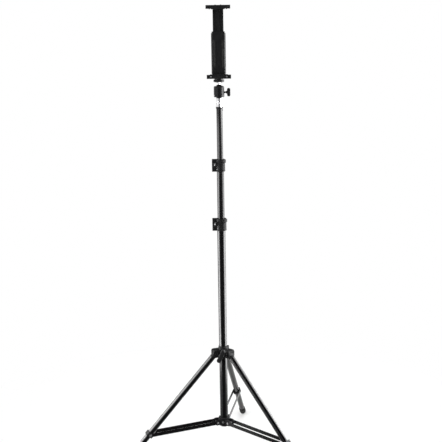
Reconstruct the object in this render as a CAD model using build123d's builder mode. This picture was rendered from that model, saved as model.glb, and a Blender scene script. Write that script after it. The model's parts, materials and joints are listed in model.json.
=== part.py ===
# Adjustable floor stand for a tablet: folding three-leg base, three-part column, ball head and tablet clamp.
# Millimetres. The floor is z = 0, the clamp faces -Y, and the origin is under the middle of the footprint.
from build123d import *
from math import acos, cos, degrees, radians, sin, sqrt
import os

os.makedirs("parts", exist_ok=True)

# Fits and cuts
running_gap = 0.08  # radial, round a shaft or tube that turns or slides
seat_gap = 0.05  # radial, round a piece that is fixed in its hole
side_gap = 0.25  # beside a piece that turns between two faces
slide_gap = 0.2  # round the flat slider of the clamp
overrun = 4.0  # how far a cut runs past what it cuts
soft_edge = 0.6  # rounding of small moulded edges

# Folding base
first_leg = 79.4  # direction of the rear leg, from +X
leg_angles = [first_leg, first_leg + 120, first_leg + 240]
pivot_radius = 22.5  # leg and strut pivots, from the column's axis
pivot_spacing = 203.0  # from the hub's pins up to the collar's rivets, stand open
leg_length = 450.0  # from the rivet to the tip of the foot
leg_joint = 284.0  # from the rivet to the strut's pivot on the leg
strut_length = 195.0  # between the strut's pivots
leg_diameter = 16.0
foot_radius = 9.5
foot_length = 34.0
foot_flat = 0.6  # depth of the flat where the foot stands
foot_floor = 12.0  # rubber between the leg's end and the foot's tip
foot_groove = 1.4

# Column tubes
tube_wall = 1.0
lower_tube_diameter = 22.0
middle_tube_diameter = 19.0
upper_tube_diameter = 16.0
lower_tube_length = 580.0
middle_tube_length = 510.0
upper_tube_length = 480.0
middle_tube_shown = 128.0  # between the two locks
upper_tube_shown = 137.0  # above the upper lock
bush_length = 12.0
bush_spigot = 20.0

# Hub of the struts
hub_radius = 15.2
hub_rise = 12.0  # half its height
hub_lug_width = 19.0
hub_lug_radius = 8.0
hub_cheek = 4.0
hub_edge = 1.0
hub_screw_radius = 2.0
pin_radius = 2.5
pin_head_radius = 3.4
pin_head_height = 1.6
bar_width = 10.0
bar_thickness = 1.5
cap_flange = 2.0
cap_plug = 10.0

# Collar of the legs
collar_radius = 14.2
collar_drop = 9.0  # below the rivets
collar_rise = 11.5  # above the rivets
collar_cone_height = 9.0
collar_cone_edge = 0.8  # left round the tube at its top
yoke_reach = 31.0
yoke_cheek = 3.0
yoke_top = 3.0
yoke_gap = 16.5
yoke_corner = 5.0
rivet_radius = 3.0
rivet_head_radius = 4.2
rivet_head_height = 2.0
collar_boss_radius = 7.0
collar_boss_reach = 20.0
collar_knob_span = 39.4
collar_knob_depth = 15.6
collar_knob_neck = 4.6  # below its wings
collar_knob_tilt = 65.0
collar_wing_width = 12.0
collar_stud_radius = 3.0
knob_foot_share = 0.75  # of a wing knob's hub radius
knob_crown_share = 0.8

# Leg fittings
leg_top_width = 15.2
leg_top_length = 14.0  # from the rivet down to the tube's end
leg_top_spigot = 20.0
bracket_width = 19.0
bracket_depth = 19.6
bracket_length = 12.0
bracket_corner = 3.0

# Flip locks
lock_height = 32.0
lock_seat = 17.0  # from the lock's foot up to its shoulder
lock_wall = 3.2
lock_ear_reach = 9.4  # ears past the body
lock_ear_width = 6.0
lock_slot = 3.0
lock_corner = 2.0
lock_bolt_inset = 9.0  # from the end of the ears to the bolt and the lever's pin
lever_gap = 0.4
lever_thickness = 2.6
lever_height = 17.0
lever_tip_height = 8.0
lever_boss_drop = 8.6  # its boss starts this far below the lock's top
lever_shoulder = 3.0  # the lever has its full height from here, left of the axis
lever_boss_radius = 4.5
lever_pin_radius = 1.8
lever_pin_head = 1.0
lever_end = 340.0  # direction of the lever's tip, from +X
lever_sweep = 120.0  # how far the lever reaches round the body
eye_radius = 3.2
eye_height = 3.6
bolt_radius = 2.0
nut_radius = 4.0  # to its corners
nut_height = 4.0
fixing_radius = 1.5
fixing_head_radius = 2.2
fixing_head_height = 1.6
fixing_angle = 228.0
fixing_height = 6.0

# Spigot and tube cap
spigot_shank = 30.0
spigot_height = 24.0
spigot_waist_radius = 6.3
spigot_waist_height = 4.0
spigot_waist_place = 12.0
thread_radius = 3.1
spigot_thread = 8.0
tube_cap_radius = 9.2
tube_cap_top_radius = 8.7
tube_cap_height = 4.5
tube_cap_drop = 3.5
side_screw_drop = 8.0

# Ball head
head_boss_radius = 7.6
head_boss_height = 2.5
head_radius = 14.0
head_flange_radius = 13.6
head_flange = 3.0
head_groove = 1.5
head_groove_radius = 12.4
head_height = 27.8  # housing above its boss
head_shoulder = 2.2
head_rim_radius = 12.0
head_floor = 6.0
ball_radius = 10.0
ball_centre_drop = 5.3  # below the housing's rim
seat_height = 9.0
stem_radius = 3.5
notch_gap = 0.6
knob_screw_radius = 2.5
knob_screw_drop = 10.6  # below the ball's centre
knob_reach = 4.3  # bare screw between housing and knob
head_knob_span = 21.6
head_knob_depth = 10.8
head_knob_neck = 1.8
head_wing_width = 5.5
platform_radius = 14.3
platform_height = 5.6
platform_cone = 2.2
platform_lift = 14.0  # cone's point above the ball's centre

# Tablet clamp
jaw_width = 62.5
jaw_centre_width = 46.0
jaw_back = 9.2
jaw_front = 16.5
jaw_lip = 3.0
lip_overlap = 3.0  # how far a lip reaches over the tablet's edge
wing_drop = 1.2
lower_jaw_height = 7.0
upper_jaw_height = 5.4
pad_thickness = 1.5
clamp_boss_radius = 12.0
clamp_boss_height = 3.2
tablet_gap = 169.5  # between the jaws' pads as stored
spine_width = 34.0
spine_height = 112.0  # above the lower jaw's top
spine_front = 4.0  # front face, before the column's axis
spine_wall = 2.6
spine_side = 3.0
cover_thickness = 2.5
slider_length = 115.0
slider_depth = 8.0
insert_radius = 5.0
insert_height = 8.0
jaw_corner = 2.0
jaw_groove = 0.6
jaw_groove_width = 1.2
jaw_groove_length = 36.0
lower_screw_place = 20.5
lower_screw_rise = 5.5
upper_screw_place = 25.3
notch_width = 3.0
spine_pad_width = 6.0
spine_pad_length = 70.0
cover_screw_radius = 1.4
cover_screw_head = 2.1
cover_screw_height = 1.2
lock_stud_radius = 2.0
lock_stud_place = 10.0  # above the slider's foot
jaw_travel_in = 50.0
jaw_travel_out = 30.0
jaw_knob_radius = 10.0
jaw_knob_depth = 9.0
jaw_knob_grip = 1.6
jaw_knob_grips = 10

# Folding geometry, from the triangle of rivet, hub pin and strut pivot
leg_radius = leg_diameter / 2
leg_tilt = degrees(acos((leg_joint**2 + pivot_spacing**2 - strut_length**2) / (2 * leg_joint * pivot_spacing)))
strut_rise = degrees(acos((strut_length**2 + pivot_spacing**2 - leg_joint**2) / (2 * strut_length * pivot_spacing)))
strut_slope = 90 - strut_rise  # above the horizontal
foot_centre = leg_length - foot_radius
foot_reach = pivot_radius + foot_centre * sin(radians(leg_tilt))
collar_height = foot_radius - foot_flat + foot_centre * cos(radians(leg_tilt))
hub_height = collar_height - pivot_spacing

# The column stands where the feet's outline has its middle on the origin
foot_places_x = [foot_reach * cos(radians(angle)) for angle in leg_angles]
foot_places_y = [foot_reach * sin(radians(angle)) for angle in leg_angles]
column_x = -(max(foot_places_x) + min(foot_places_x)) / 2
column_y = -(max(foot_places_y) + min(foot_places_y)) / 2

# Heights along the column
lower_tube_radius = lower_tube_diameter / 2
middle_tube_radius = middle_tube_diameter / 2
upper_tube_radius = upper_tube_diameter / 2
tube_foot = hub_height - hub_rise
lower_lock_foot = tube_foot + lower_tube_length - lock_seat
upper_lock_foot = lower_lock_foot + lock_height + middle_tube_shown
middle_tube_top = upper_lock_foot + lock_seat
upper_tube_top = upper_lock_foot + lock_height + upper_tube_shown
head_foot = upper_tube_top + spigot_height
head_top = head_foot + head_boss_height + head_height
ball_centre = head_top - ball_centre_drop
platform_foot = ball_centre + platform_lift
platform_top = platform_foot + platform_cone + platform_height
jaw_foot = platform_top + clamp_boss_height
jaw_top = jaw_foot + lower_jaw_height
lower_seat = jaw_top + pad_thickness
upper_seat = lower_seat + tablet_gap
upper_jaw_foot = upper_seat + pad_thickness
spine_top = jaw_top + spine_height
slider_foot = upper_jaw_foot - slider_length
stud_height = slider_foot + lock_stud_place
cavity_front = spine_wall - spine_front
cavity_depth = slider_depth + 2 * slide_gap
cavity_back = cavity_front + cavity_depth


def save(piece, name):
    piece.part.label = name
    export_step(piece.part, f"parts/{name}.step")


# Planes of the model

def level(height, aside=0, ahead=0):
    # Flat plane at a height, its middle on the column's axis unless it is moved aside (X) or ahead (-Y).
    return Plane(origin=(column_x + aside, column_y - ahead, height))


def upright(angle, aside=0):
    # Upright plane through the column's axis: sketch x runs outwards, sketch y is the height.
    out = Vector(cos(radians(angle)), sin(radians(angle)), 0)
    across = Vector(sin(radians(angle)), -cos(radians(angle)), 0)
    return Plane(origin=Vector(column_x, column_y, 0) + across * aside, x_dir=out, z_dir=across)


def facing(angle, reach, height):
    # Upright plane that faces outwards, at a reach from the column's axis.
    out = Vector(cos(radians(angle)), sin(radians(angle)), 0)
    along = Vector(-sin(radians(angle)), cos(radians(angle)), 0)
    return Plane(origin=Vector(column_x, column_y, height) + out * reach, x_dir=along, z_dir=out)


def leg_section(angle, along):
    # Plane square to a leg, at a distance from its rivet, facing down the leg.
    tilt = radians(leg_tilt)
    turn = radians(angle)
    down = Vector(sin(tilt) * cos(turn), sin(tilt) * sin(turn), -cos(tilt))
    rivet = Vector(column_x + pivot_radius * cos(turn), column_y + pivot_radius * sin(turn), collar_height)
    return Plane(origin=rivet + down * along, x_dir=Vector(-sin(turn), cos(turn), 0), z_dir=down)


def front(depth):
    # Upright plane that faces the front (-Y), at a depth before the column's axis.
    return Plane(origin=(column_x, column_y - depth, 0), x_dir=(1, 0, 0), z_dir=(0, -1, 0))


# Shapes that repeat

def disc(plane, radius, height, mode=Mode.ADD):
    with BuildSketch(plane) as round_face:
        Circle(radius)
    extrude(round_face.sketch, amount=height, mode=mode)


def ring(plane, outer, inner, height, mode=Mode.ADD):
    with BuildSketch(plane) as ring_face:
        Circle(outer)
        Circle(inner, mode=Mode.SUBTRACT)
    extrude(ring_face.sketch, amount=height, mode=mode)


def turned(plane, outline, mode=Mode.ADD):
    # Revolves an outline of (radius, height) points about the plane's normal.
    side = Plane(origin=plane.origin, x_dir=plane.x_dir, z_dir=plane.x_dir.cross(plane.z_dir))
    with BuildSketch(side) as half:
        with BuildLine():
            Polyline(*outline, close=True)
        make_face()
    revolve(half.sketch, axis=Axis(plane.origin, plane.z_dir), mode=mode)


def fastener(plane, shank_radius, shank_length, head_radius, head_height, mode=Mode.ADD):
    # Pan head on the plane, shank behind it.
    side = Plane(origin=plane.origin, x_dir=plane.x_dir, z_dir=plane.x_dir.cross(plane.z_dir))
    edge = head_height / 3
    dome = (head_radius**2 + (head_height - edge) ** 2) / (2 * (head_height - edge))
    dome_middle = head_height - dome + sqrt(dome**2 - (head_radius / 2) ** 2)
    with BuildSketch(side) as half:
        with BuildLine():
            Line((0, -shank_length), (shank_radius, -shank_length))
            Line((shank_radius, -shank_length), (shank_radius, 0))
            Line((shank_radius, 0), (head_radius, 0))
            Line((head_radius, 0), (head_radius, edge))
            ThreePointArc((head_radius, edge), (head_radius / 2, dome_middle), (0, head_height))
            Line((0, head_height), (0, -shank_length))
        make_face()
    revolve(half.sketch, axis=Axis(plane.origin, plane.z_dir), mode=mode)


def wing_knob(plane, span, depth, neck, tilt, wing_width, hub, stud, stud_depth):
    # Cone-shaped hub on the plane with two wings above it.
    outline = [(0, 0), (hub * knob_foot_share, 0), (hub, neck), (hub * knob_crown_share, depth), (0, depth)]
    turned(plane, outline)
    with BuildSketch(plane.offset(neck)) as wings:
        SlotOverall(span, wing_width, rotation=tilt)
    extrude(wings.sketch, amount=depth - neck)
    disc(plane, stud + seat_gap, stud_depth, mode=Mode.SUBTRACT)


# Column tubes

def tube_body(diameter, foot, length):
    ring(level(foot), diameter / 2, diameter / 2 - tube_wall, length)


hub_screw_plane = facing(first_leg + 180, hub_radius, hub_height)
with BuildPart() as lower_tube:
    tube_body(lower_tube_diameter, tube_foot, lower_tube_length)
    disc(hub_screw_plane, hub_screw_radius + seat_gap, -(hub_radius - hub_cheek), mode=Mode.SUBTRACT)
    disc(
        facing(fixing_angle, 0, lower_lock_foot + fixing_height),
        fixing_radius + seat_gap,
        lower_tube_radius + overrun,
        mode=Mode.SUBTRACT,
    )
save(lower_tube, "lower_tube")

middle_tube_foot = middle_tube_top - middle_tube_length
with BuildPart() as middle_tube:
    tube_body(middle_tube_diameter, middle_tube_foot, middle_tube_length)
    disc(
        facing(fixing_angle, 0, upper_lock_foot + fixing_height),
        fixing_radius + seat_gap,
        middle_tube_radius + overrun,
        mode=Mode.SUBTRACT,
    )
save(middle_tube, "middle_tube")

upper_tube_foot = upper_tube_top - upper_tube_length
side_screw_height = upper_tube_top - side_screw_drop
with BuildPart() as upper_tube:
    tube_body(upper_tube_diameter, upper_tube_foot, upper_tube_length)
    disc(facing(0, 0, side_screw_height), fixing_radius + seat_gap, upper_tube_radius + overrun, mode=Mode.SUBTRACT)
save(upper_tube, "upper_tube")


def save_bush(name, tube_radius, outer_radius, tube_end):
    # Guide bush under a sliding tube: a collar that runs in the outer tube and a spigot pressed in the inner one.
    with BuildPart() as bush:
        disc(level(tube_end - bush_length), outer_radius - tube_wall - running_gap, bush_length)
        chamfer(bush.edges().filter_by(GeomType.CIRCLE).group_by(Axis.Z)[0], tube_wall / 2)
        disc(level(tube_end), tube_radius - tube_wall - seat_gap, bush_spigot)
        disc(level(tube_end - bush_length), tube_radius - 3 * tube_wall, bush_length + bush_spigot, Mode.SUBTRACT)
    save(bush, name)


save_bush("middle_tube_bush", middle_tube_radius, lower_tube_radius, middle_tube_foot)
save_bush("upper_tube_bush", upper_tube_radius, middle_tube_radius, upper_tube_foot)


# Hub of the struts, at the column's foot

with BuildPart() as hub:
    disc(level(hub_height - hub_rise), hub_radius, 2 * hub_rise)
    chamfer(hub.edges().filter_by(GeomType.CIRCLE), hub_edge)
    for angle in leg_angles:
        with BuildSketch(upright(angle)):
            with Locations((pivot_radius, hub_height)):
                Circle(hub_lug_radius)
            with Locations((pivot_radius, hub_height)):
                Rectangle(pivot_radius - lower_tube_radius, 2 * hub_lug_radius, align=(Align.MAX, Align.CENTER))
        extrude(amount=hub_lug_width / 2, both=True)
        with BuildSketch(upright(angle)):
            with Locations((hub_radius + seat_gap, hub_height)):
                Rectangle(hub_radius + overrun, 2 * hub_rise + overrun, align=(Align.MIN, Align.CENTER))
        extrude(amount=hub_lug_width / 2 - hub_cheek, both=True, mode=Mode.SUBTRACT)
        with BuildSketch(upright(angle)):
            with Locations((pivot_radius, hub_height)):
                Circle(pin_radius + seat_gap)
        extrude(amount=hub_lug_width, both=True, mode=Mode.SUBTRACT)
    disc(level(hub_height - hub_rise), lower_tube_radius + seat_gap, 2 * hub_rise, mode=Mode.SUBTRACT)
    disc(hub_screw_plane, hub_screw_radius + seat_gap, -hub_radius / 2, mode=Mode.SUBTRACT)
    disc(hub_screw_plane.offset(-hub_edge), pin_head_radius, hub_edge + overrun, mode=Mode.SUBTRACT)
save(hub, "hub")

pin_head_place = hub_lug_width / 2 + 2 * side_gap + bar_thickness
with BuildPart() as hub_pins:
    for angle in leg_angles:
        for side in (1, -1):
            place = upright(angle, side * pin_head_place)
            seat = Plane(
                origin=place.from_local_coords((pivot_radius, hub_height, 0)),
                x_dir=(0, 0, 1),
                z_dir=place.z_dir * side,
            )
            fastener(seat, pin_radius, pin_head_place, pin_head_radius, pin_head_height)
    fastener(
        hub_screw_plane.offset(-hub_edge),
        hub_screw_radius,
        hub_radius - hub_edge - lower_tube_radius + tube_wall / 2,
        pin_head_radius - side_gap,
        pin_head_height,
    )
save(hub_pins, "hub_fasteners")

with BuildPart() as hub_cap:
    disc(level(tube_foot - cap_flange), lower_tube_radius + tube_wall, cap_flange)
    chamfer(hub_cap.edges().filter_by(GeomType.CIRCLE).group_by(Axis.Z)[0], cap_flange / 3)
    disc(level(tube_foot), lower_tube_radius - tube_wall - seat_gap, cap_plug)
save(hub_cap, "column_end_cap")


# Struts: two flat bars each, beside the hub's lug and the leg's bracket

strut_middle = (
    pivot_radius + strut_length / 2 * cos(radians(strut_slope)),
    hub_height + strut_length / 2 * sin(radians(strut_slope)),
)
strut_end = (
    pivot_radius + strut_length * cos(radians(strut_slope)),
    hub_height + strut_length * sin(radians(strut_slope)),
)
bar_place = hub_lug_width / 2 + side_gap
for number, angle in enumerate(leg_angles, 1):
    with BuildPart() as bars:
        for side in (1, -1):
            with BuildSketch(upright(angle, side * bar_place)):
                with Locations(strut_middle):
                    SlotCenterToCenter(strut_length, bar_width, rotation=strut_slope)
                with Locations((pivot_radius, hub_height)):
                    Circle(pin_radius + running_gap, mode=Mode.SUBTRACT)
                with Locations(strut_end):
                    Circle(pin_radius + seat_gap, mode=Mode.SUBTRACT)
            extrude(amount=side * bar_thickness)
    save(bars, f"strut_{number}_bars")

    with BuildPart() as strut_rivets:
        for side in (1, -1):
            place = upright(angle, side * (bar_place + bar_thickness))
            seat = Plane(origin=place.from_local_coords((*strut_end, 0)), x_dir=(0, 0, 1), z_dir=place.z_dir * side)
            fastener(seat, pin_radius, bar_thickness, pin_head_radius, pin_head_height)
    save(strut_rivets, f"strut_{number}_rivets")


# Legs

tube_end = leg_length - foot_floor
for number, angle in enumerate(leg_angles, 1):
    with BuildPart() as leg_tube:
        ring(leg_section(angle, leg_top_length), leg_radius, leg_radius - tube_wall, tube_end - leg_top_length)
    save(leg_tube, f"leg_{number}_tube")

    with BuildPart() as leg_top:
        rivet = leg_section(angle, 0)
        across = Plane(origin=rivet.origin, x_dir=rivet.z_dir, z_dir=rivet.x_dir)
        with BuildSketch(across):
            Circle(leg_radius)
            Rectangle(leg_top_length / 2, leg_diameter, align=(Align.MIN, Align.CENTER))
        extrude(amount=leg_top_width / 2, both=True)
        disc(leg_section(angle, leg_top_length / 2), leg_radius, leg_top_length / 2)
        disc(leg_section(angle, leg_top_length), leg_radius - tube_wall - seat_gap, leg_top_spigot)
        with BuildSketch(across):
            Circle(rivet_radius + running_gap)
        extrude(amount=leg_diameter, both=True, mode=Mode.SUBTRACT)
    save(leg_top, f"leg_{number}_top")

    with BuildPart() as bracket:
        with BuildSketch(leg_section(angle, leg_joint - bracket_length / 2)):
            RectangleRounded(bracket_width, bracket_depth, bracket_corner)
            Circle(leg_radius + seat_gap, mode=Mode.SUBTRACT)
        extrude(amount=bracket_length)
    save(bracket, f"leg_{number}_bracket")

    with BuildPart() as foot:
        disc(leg_section(angle, leg_length - foot_length), foot_radius, foot_length - foot_radius)
        with Locations(leg_section(angle, foot_centre).location):
            Sphere(foot_radius)
        for place in (foot_groove, 3 * foot_groove):
            ring(
                leg_section(angle, leg_length - foot_length + place),
                foot_radius + overrun,
                foot_radius - foot_groove / 3,
                foot_groove,
                mode=Mode.SUBTRACT,
            )
        disc(
            leg_section(angle, leg_length - foot_length - overrun),
            leg_radius + seat_gap,
            foot_length + overrun - foot_floor,
            mode=Mode.SUBTRACT,
        )
        split(bisect_by=Plane.XY, keep=Keep.TOP)
    save(foot, f"leg_{number}_foot")


# Collar of the legs, sliding on the lower tube

collar_foot = collar_height - collar_drop
collar_full = collar_drop + collar_rise
yoke_half = yoke_gap / 2 + yoke_cheek
collar_knob_angle = first_leg + 180
with BuildPart() as collar:
    disc(level(collar_foot), collar_radius, collar_full)
    for angle in leg_angles:
        with BuildSketch(upright(angle)) as yoke:
            with Locations((lower_tube_radius, collar_foot)):
                Rectangle(yoke_reach - lower_tube_radius, collar_full, align=(Align.MIN, Align.MIN))
            fillet(yoke.vertices().group_by(Axis.X)[-1], yoke_corner)
        extrude(amount=yoke_half, both=True)
    for angle in leg_angles:
        with BuildSketch(upright(angle)):
            with Locations((collar_radius, collar_height + collar_rise - yoke_top)):
                Rectangle(yoke_reach + overrun, collar_full + overrun, align=(Align.MIN, Align.MAX))
        extrude(amount=yoke_gap / 2, both=True, mode=Mode.SUBTRACT)
        with BuildSketch(upright(angle)):
            with Locations((pivot_radius, collar_height)):
                Circle(rivet_radius + seat_gap)
        extrude(amount=yoke_half + overrun, both=True, mode=Mode.SUBTRACT)
    disc(facing(collar_knob_angle, lower_tube_radius, collar_height), collar_boss_radius,
         collar_boss_reach - lower_tube_radius)
    disc(facing(collar_knob_angle, 0, collar_height), collar_stud_radius + running_gap,
         collar_boss_reach + overrun, mode=Mode.SUBTRACT)
    turned(
        level(collar_foot + collar_full),
        [
            (0, 0),
            (collar_radius, 0),
            (lower_tube_radius + collar_cone_edge, collar_cone_height),
            (0, collar_cone_height),
        ],
    )
    disc(
        level(collar_foot - overrun),
        lower_tube_radius + running_gap,
        collar_full + collar_cone_height + 2 * overrun,
        mode=Mode.SUBTRACT,
    )
save(collar, "leg_collar")

with BuildPart() as collar_rivets:
    for angle in leg_angles:
        for side in (1, -1):
            place = upright(angle, side * yoke_half)
            seat = Plane(
                origin=place.from_local_coords((pivot_radius, collar_height, 0)),
                x_dir=(0, 0, 1),
                z_dir=place.z_dir * side,
            )
            fastener(seat, rivet_radius, yoke_half, rivet_head_radius, rivet_head_height)
save(collar_rivets, "collar_rivets")

collar_knob_plane = facing(collar_knob_angle, collar_boss_reach + side_gap, collar_height)
with BuildPart() as collar_knob:
    wing_knob(
        collar_knob_plane,
        collar_knob_span,
        collar_knob_depth,
        collar_knob_neck,
        collar_knob_tilt,
        collar_wing_width,
        collar_boss_radius,
        collar_stud_radius,
        collar_knob_depth / 2,
    )
save(collar_knob, "collar_knob")

collar_stud_start = lower_tube_radius + side_gap
with BuildPart() as collar_stud:
    disc(
        facing(collar_knob_angle, collar_stud_start, collar_height),
        collar_stud_radius,
        collar_boss_reach + side_gap + collar_knob_depth / 2 - collar_stud_start,
    )
save(collar_stud, "collar_knob_stud")


# Flip locks: a split clamp on the sliding tube, moulded over the end of the outer tube

def save_lock(name, foot, tube_radius, sliding_radius):
    body_radius = tube_radius + lock_wall
    ear_reach = body_radius + lock_ear_reach
    ear_half = lock_slot / 2 + lock_ear_width
    top = foot + lock_height
    bolt_x = -(ear_reach - lock_bolt_inset)
    boss_top = top - lever_boss_drop
    boss_foot = top - lever_height
    bolt_height = (boss_top + boss_foot) / 2
    pin_ahead = ear_half + side_gap + lever_boss_radius
    fixing_seat = facing(fixing_angle, body_radius - fixing_head_height / 2, foot + fixing_height)

    with BuildPart() as body:
        with BuildSketch(level(foot)) as plan:
            Circle(body_radius)
            Rectangle(ear_reach, 2 * ear_half, align=(Align.MAX, Align.CENTER))
            fillet(plan.vertices().group_by(Axis.X)[0], lock_corner)
        extrude(amount=lock_height)
        chamfer(body.faces().sort_by(Axis.Z)[-1].edges(), soft_edge)
        disc(level(foot - overrun), tube_radius + seat_gap, lock_seat + overrun, mode=Mode.SUBTRACT)
        disc(level(foot), sliding_radius + running_gap, lock_height + overrun, mode=Mode.SUBTRACT)
        with BuildSketch(level(foot + lock_seat - lock_slot)):
            Rectangle(ear_reach + overrun, lock_slot, align=(Align.MAX, Align.CENTER))
        extrude(amount=lock_height, mode=Mode.SUBTRACT)
        with BuildSketch(front(0)):
            with Locations((bolt_x, bolt_height)):
                Circle(bolt_radius + seat_gap)
        extrude(amount=ear_half + overrun, both=True, mode=Mode.SUBTRACT)
        # Room for the nut beside the round of the body
        with BuildSketch(front(-ear_half)):
            with Locations((bolt_x, bolt_height)):
                Circle(nut_radius + side_gap)
        extrude(amount=-(nut_height + overrun), mode=Mode.SUBTRACT)
        disc(fixing_seat, fixing_radius + seat_gap, -body_radius / 2, mode=Mode.SUBTRACT)
        disc(fixing_seat, fixing_head_radius + side_gap, overrun, mode=Mode.SUBTRACT)
    save(body, f"{name}_body")

    with BuildPart() as fasteners:
        bolt_back = ear_half + nut_height + soft_edge
        with BuildSketch(front(-bolt_back)):
            with Locations((bolt_x, bolt_height)):
                Circle(bolt_radius)
        extrude(amount=bolt_back + pin_ahead)
        disc(level(bolt_height - eye_height / 2, bolt_x, pin_ahead), eye_radius, eye_height)
        disc(level(foot, bolt_x, pin_ahead), lever_pin_radius + running_gap, lock_height + overrun, Mode.SUBTRACT)
        with BuildSketch(front(-ear_half)):
            with Locations((bolt_x, bolt_height)):
                RegularPolygon(nut_radius, 6, rotation=30)
                Circle(bolt_radius + seat_gap, mode=Mode.SUBTRACT)
        extrude(amount=-nut_height)
        fastener(
            fixing_seat,
            fixing_radius,
            body_radius - fixing_head_height / 2 - tube_radius + tube_wall / 2,
            fixing_head_radius,
            fixing_head_height,
        )
    save(fasteners, f"{name}_fasteners")

    band_inner = body_radius + lever_gap
    band_outer = band_inner + lever_thickness
    with BuildPart() as lever:
        with BuildSketch(level(boss_foot)) as plan:
            with BuildLine():
                start = lever_end - lever_sweep
                outer_arc = CenterArc((0, 0), band_outer, start, lever_sweep)
                inner_arc = CenterArc((0, 0), band_inner, start, lever_sweep)
                Line(outer_arc @ 0, inner_arc @ 0)
                Line(outer_arc @ 1, inner_arc @ 1)
            make_face()
            with Locations((bolt_x, -pin_ahead)):
                Circle(lever_boss_radius)
            with BuildLine():
                Polyline(
                    (bolt_x, -pin_ahead - lever_boss_radius),
                    outer_arc @ (1 / 4),
                    inner_arc @ (1 / 5),
                    (bolt_x + lever_boss_radius, -pin_ahead),
                    close=True,
                )
            make_face()
        extrude(amount=lever_height)
        # The lever narrows towards its tip
        with BuildSketch(front(0)):
            with BuildLine():
                Polyline(
                    (bolt_x + lever_boss_radius, boss_foot - overrun),
                    (bolt_x + lever_boss_radius, boss_foot),
                    (band_outer, top - lever_tip_height),
                    (band_outer + overrun, top - lever_tip_height),
                    (band_outer + overrun, boss_foot - overrun),
                    close=True,
                )
            make_face()
        extrude(amount=band_outer + overrun, mode=Mode.SUBTRACT)
        # Its upper edge climbs from the boss to the shoulder
        with BuildSketch(front(0)):
            with BuildLine():
                Polyline(
                    (bolt_x - lever_boss_radius - overrun, top + overrun),
                    (bolt_x - lever_boss_radius - overrun, boss_top),
                    (bolt_x + lever_boss_radius, boss_top),
                    (-lever_shoulder, top),
                    (-lever_shoulder, top + overrun),
                    close=True,
                )
            make_face()
        extrude(amount=band_outer + overrun, mode=Mode.SUBTRACT)
        # Gap for the eye of the bolt
        with BuildSketch(level(bolt_height - eye_height / 2 - side_gap)):
            with Locations((bolt_x + bolt_radius + side_gap, -pin_ahead)):
                Rectangle(3 * lever_boss_radius, 3 * lever_boss_radius, align=(Align.MAX, Align.CENTER))
            with Locations((bolt_x, -pin_ahead)):
                Circle(eye_radius + side_gap)
        extrude(amount=eye_height + 2 * side_gap, mode=Mode.SUBTRACT)
        disc(level(foot, bolt_x, pin_ahead), lever_pin_radius + seat_gap, lock_height + overrun, Mode.SUBTRACT)
    save(lever, f"{name}_lever")

    with BuildPart() as pin:
        disc(level(boss_foot, bolt_x, pin_ahead), lever_pin_radius, boss_top - boss_foot)
        disc(level(boss_top, bolt_x, pin_ahead), lever_pin_radius + lever_pin_head, lever_pin_head)
        chamfer(pin.edges().filter_by(GeomType.CIRCLE).group_by(Axis.Z)[-1], lever_pin_head / 3)
    save(pin, f"{name}_pin")


save_lock("lower_lock", lower_lock_foot, lower_tube_radius, middle_tube_radius)
save_lock("upper_lock", upper_lock_foot, middle_tube_radius, upper_tube_radius)


# Cap and spigot at the column's top

side_screw_seat = facing(0, upper_tube_radius, side_screw_height)
with BuildPart() as tube_cap:
    cap_foot = upper_tube_top - tube_cap_drop
    cap_bore = upper_tube_radius + seat_gap
    turned(
        level(cap_foot),
        [
            (cap_bore, 0),
            (tube_cap_radius, 0),
            (tube_cap_radius, tube_cap_height / 2),
            (tube_cap_top_radius, tube_cap_height),
            (cap_bore, tube_cap_height),
        ],
    )
save(tube_cap, "tube_cap")

with BuildPart() as spigot:
    waist_foot = spigot_waist_place - spigot_waist_height / 2
    waist_top = spigot_waist_place + spigot_waist_height / 2
    waist_slope = (upper_tube_radius - spigot_waist_radius) / 2
    shank_radius = upper_tube_radius - tube_wall - seat_gap
    turned(
        level(upper_tube_top),
        [
            (0, -spigot_shank),
            (shank_radius, -spigot_shank),
            (shank_radius, 0),
            (upper_tube_radius, 0),
            (upper_tube_radius, waist_foot - waist_slope),
            (spigot_waist_radius, waist_foot),
            (spigot_waist_radius, waist_top),
            (upper_tube_radius, waist_top + waist_slope),
            (upper_tube_radius, spigot_height - soft_edge),
            (upper_tube_radius - soft_edge, spigot_height),
            (thread_radius, spigot_height),
            (thread_radius, spigot_height + spigot_thread),
            (0, spigot_height + spigot_thread),
        ],
    )
    disc(facing(0, 0, side_screw_height), fixing_radius + seat_gap, upper_tube_radius, mode=Mode.SUBTRACT)
save(spigot, "spigot")

with BuildPart() as spigot_screw:
    fastener(side_screw_seat, fixing_radius, upper_tube_radius / 2, fixing_head_radius, fixing_head_height)
save(spigot_screw, "spigot_screw")


# Ball head

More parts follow.
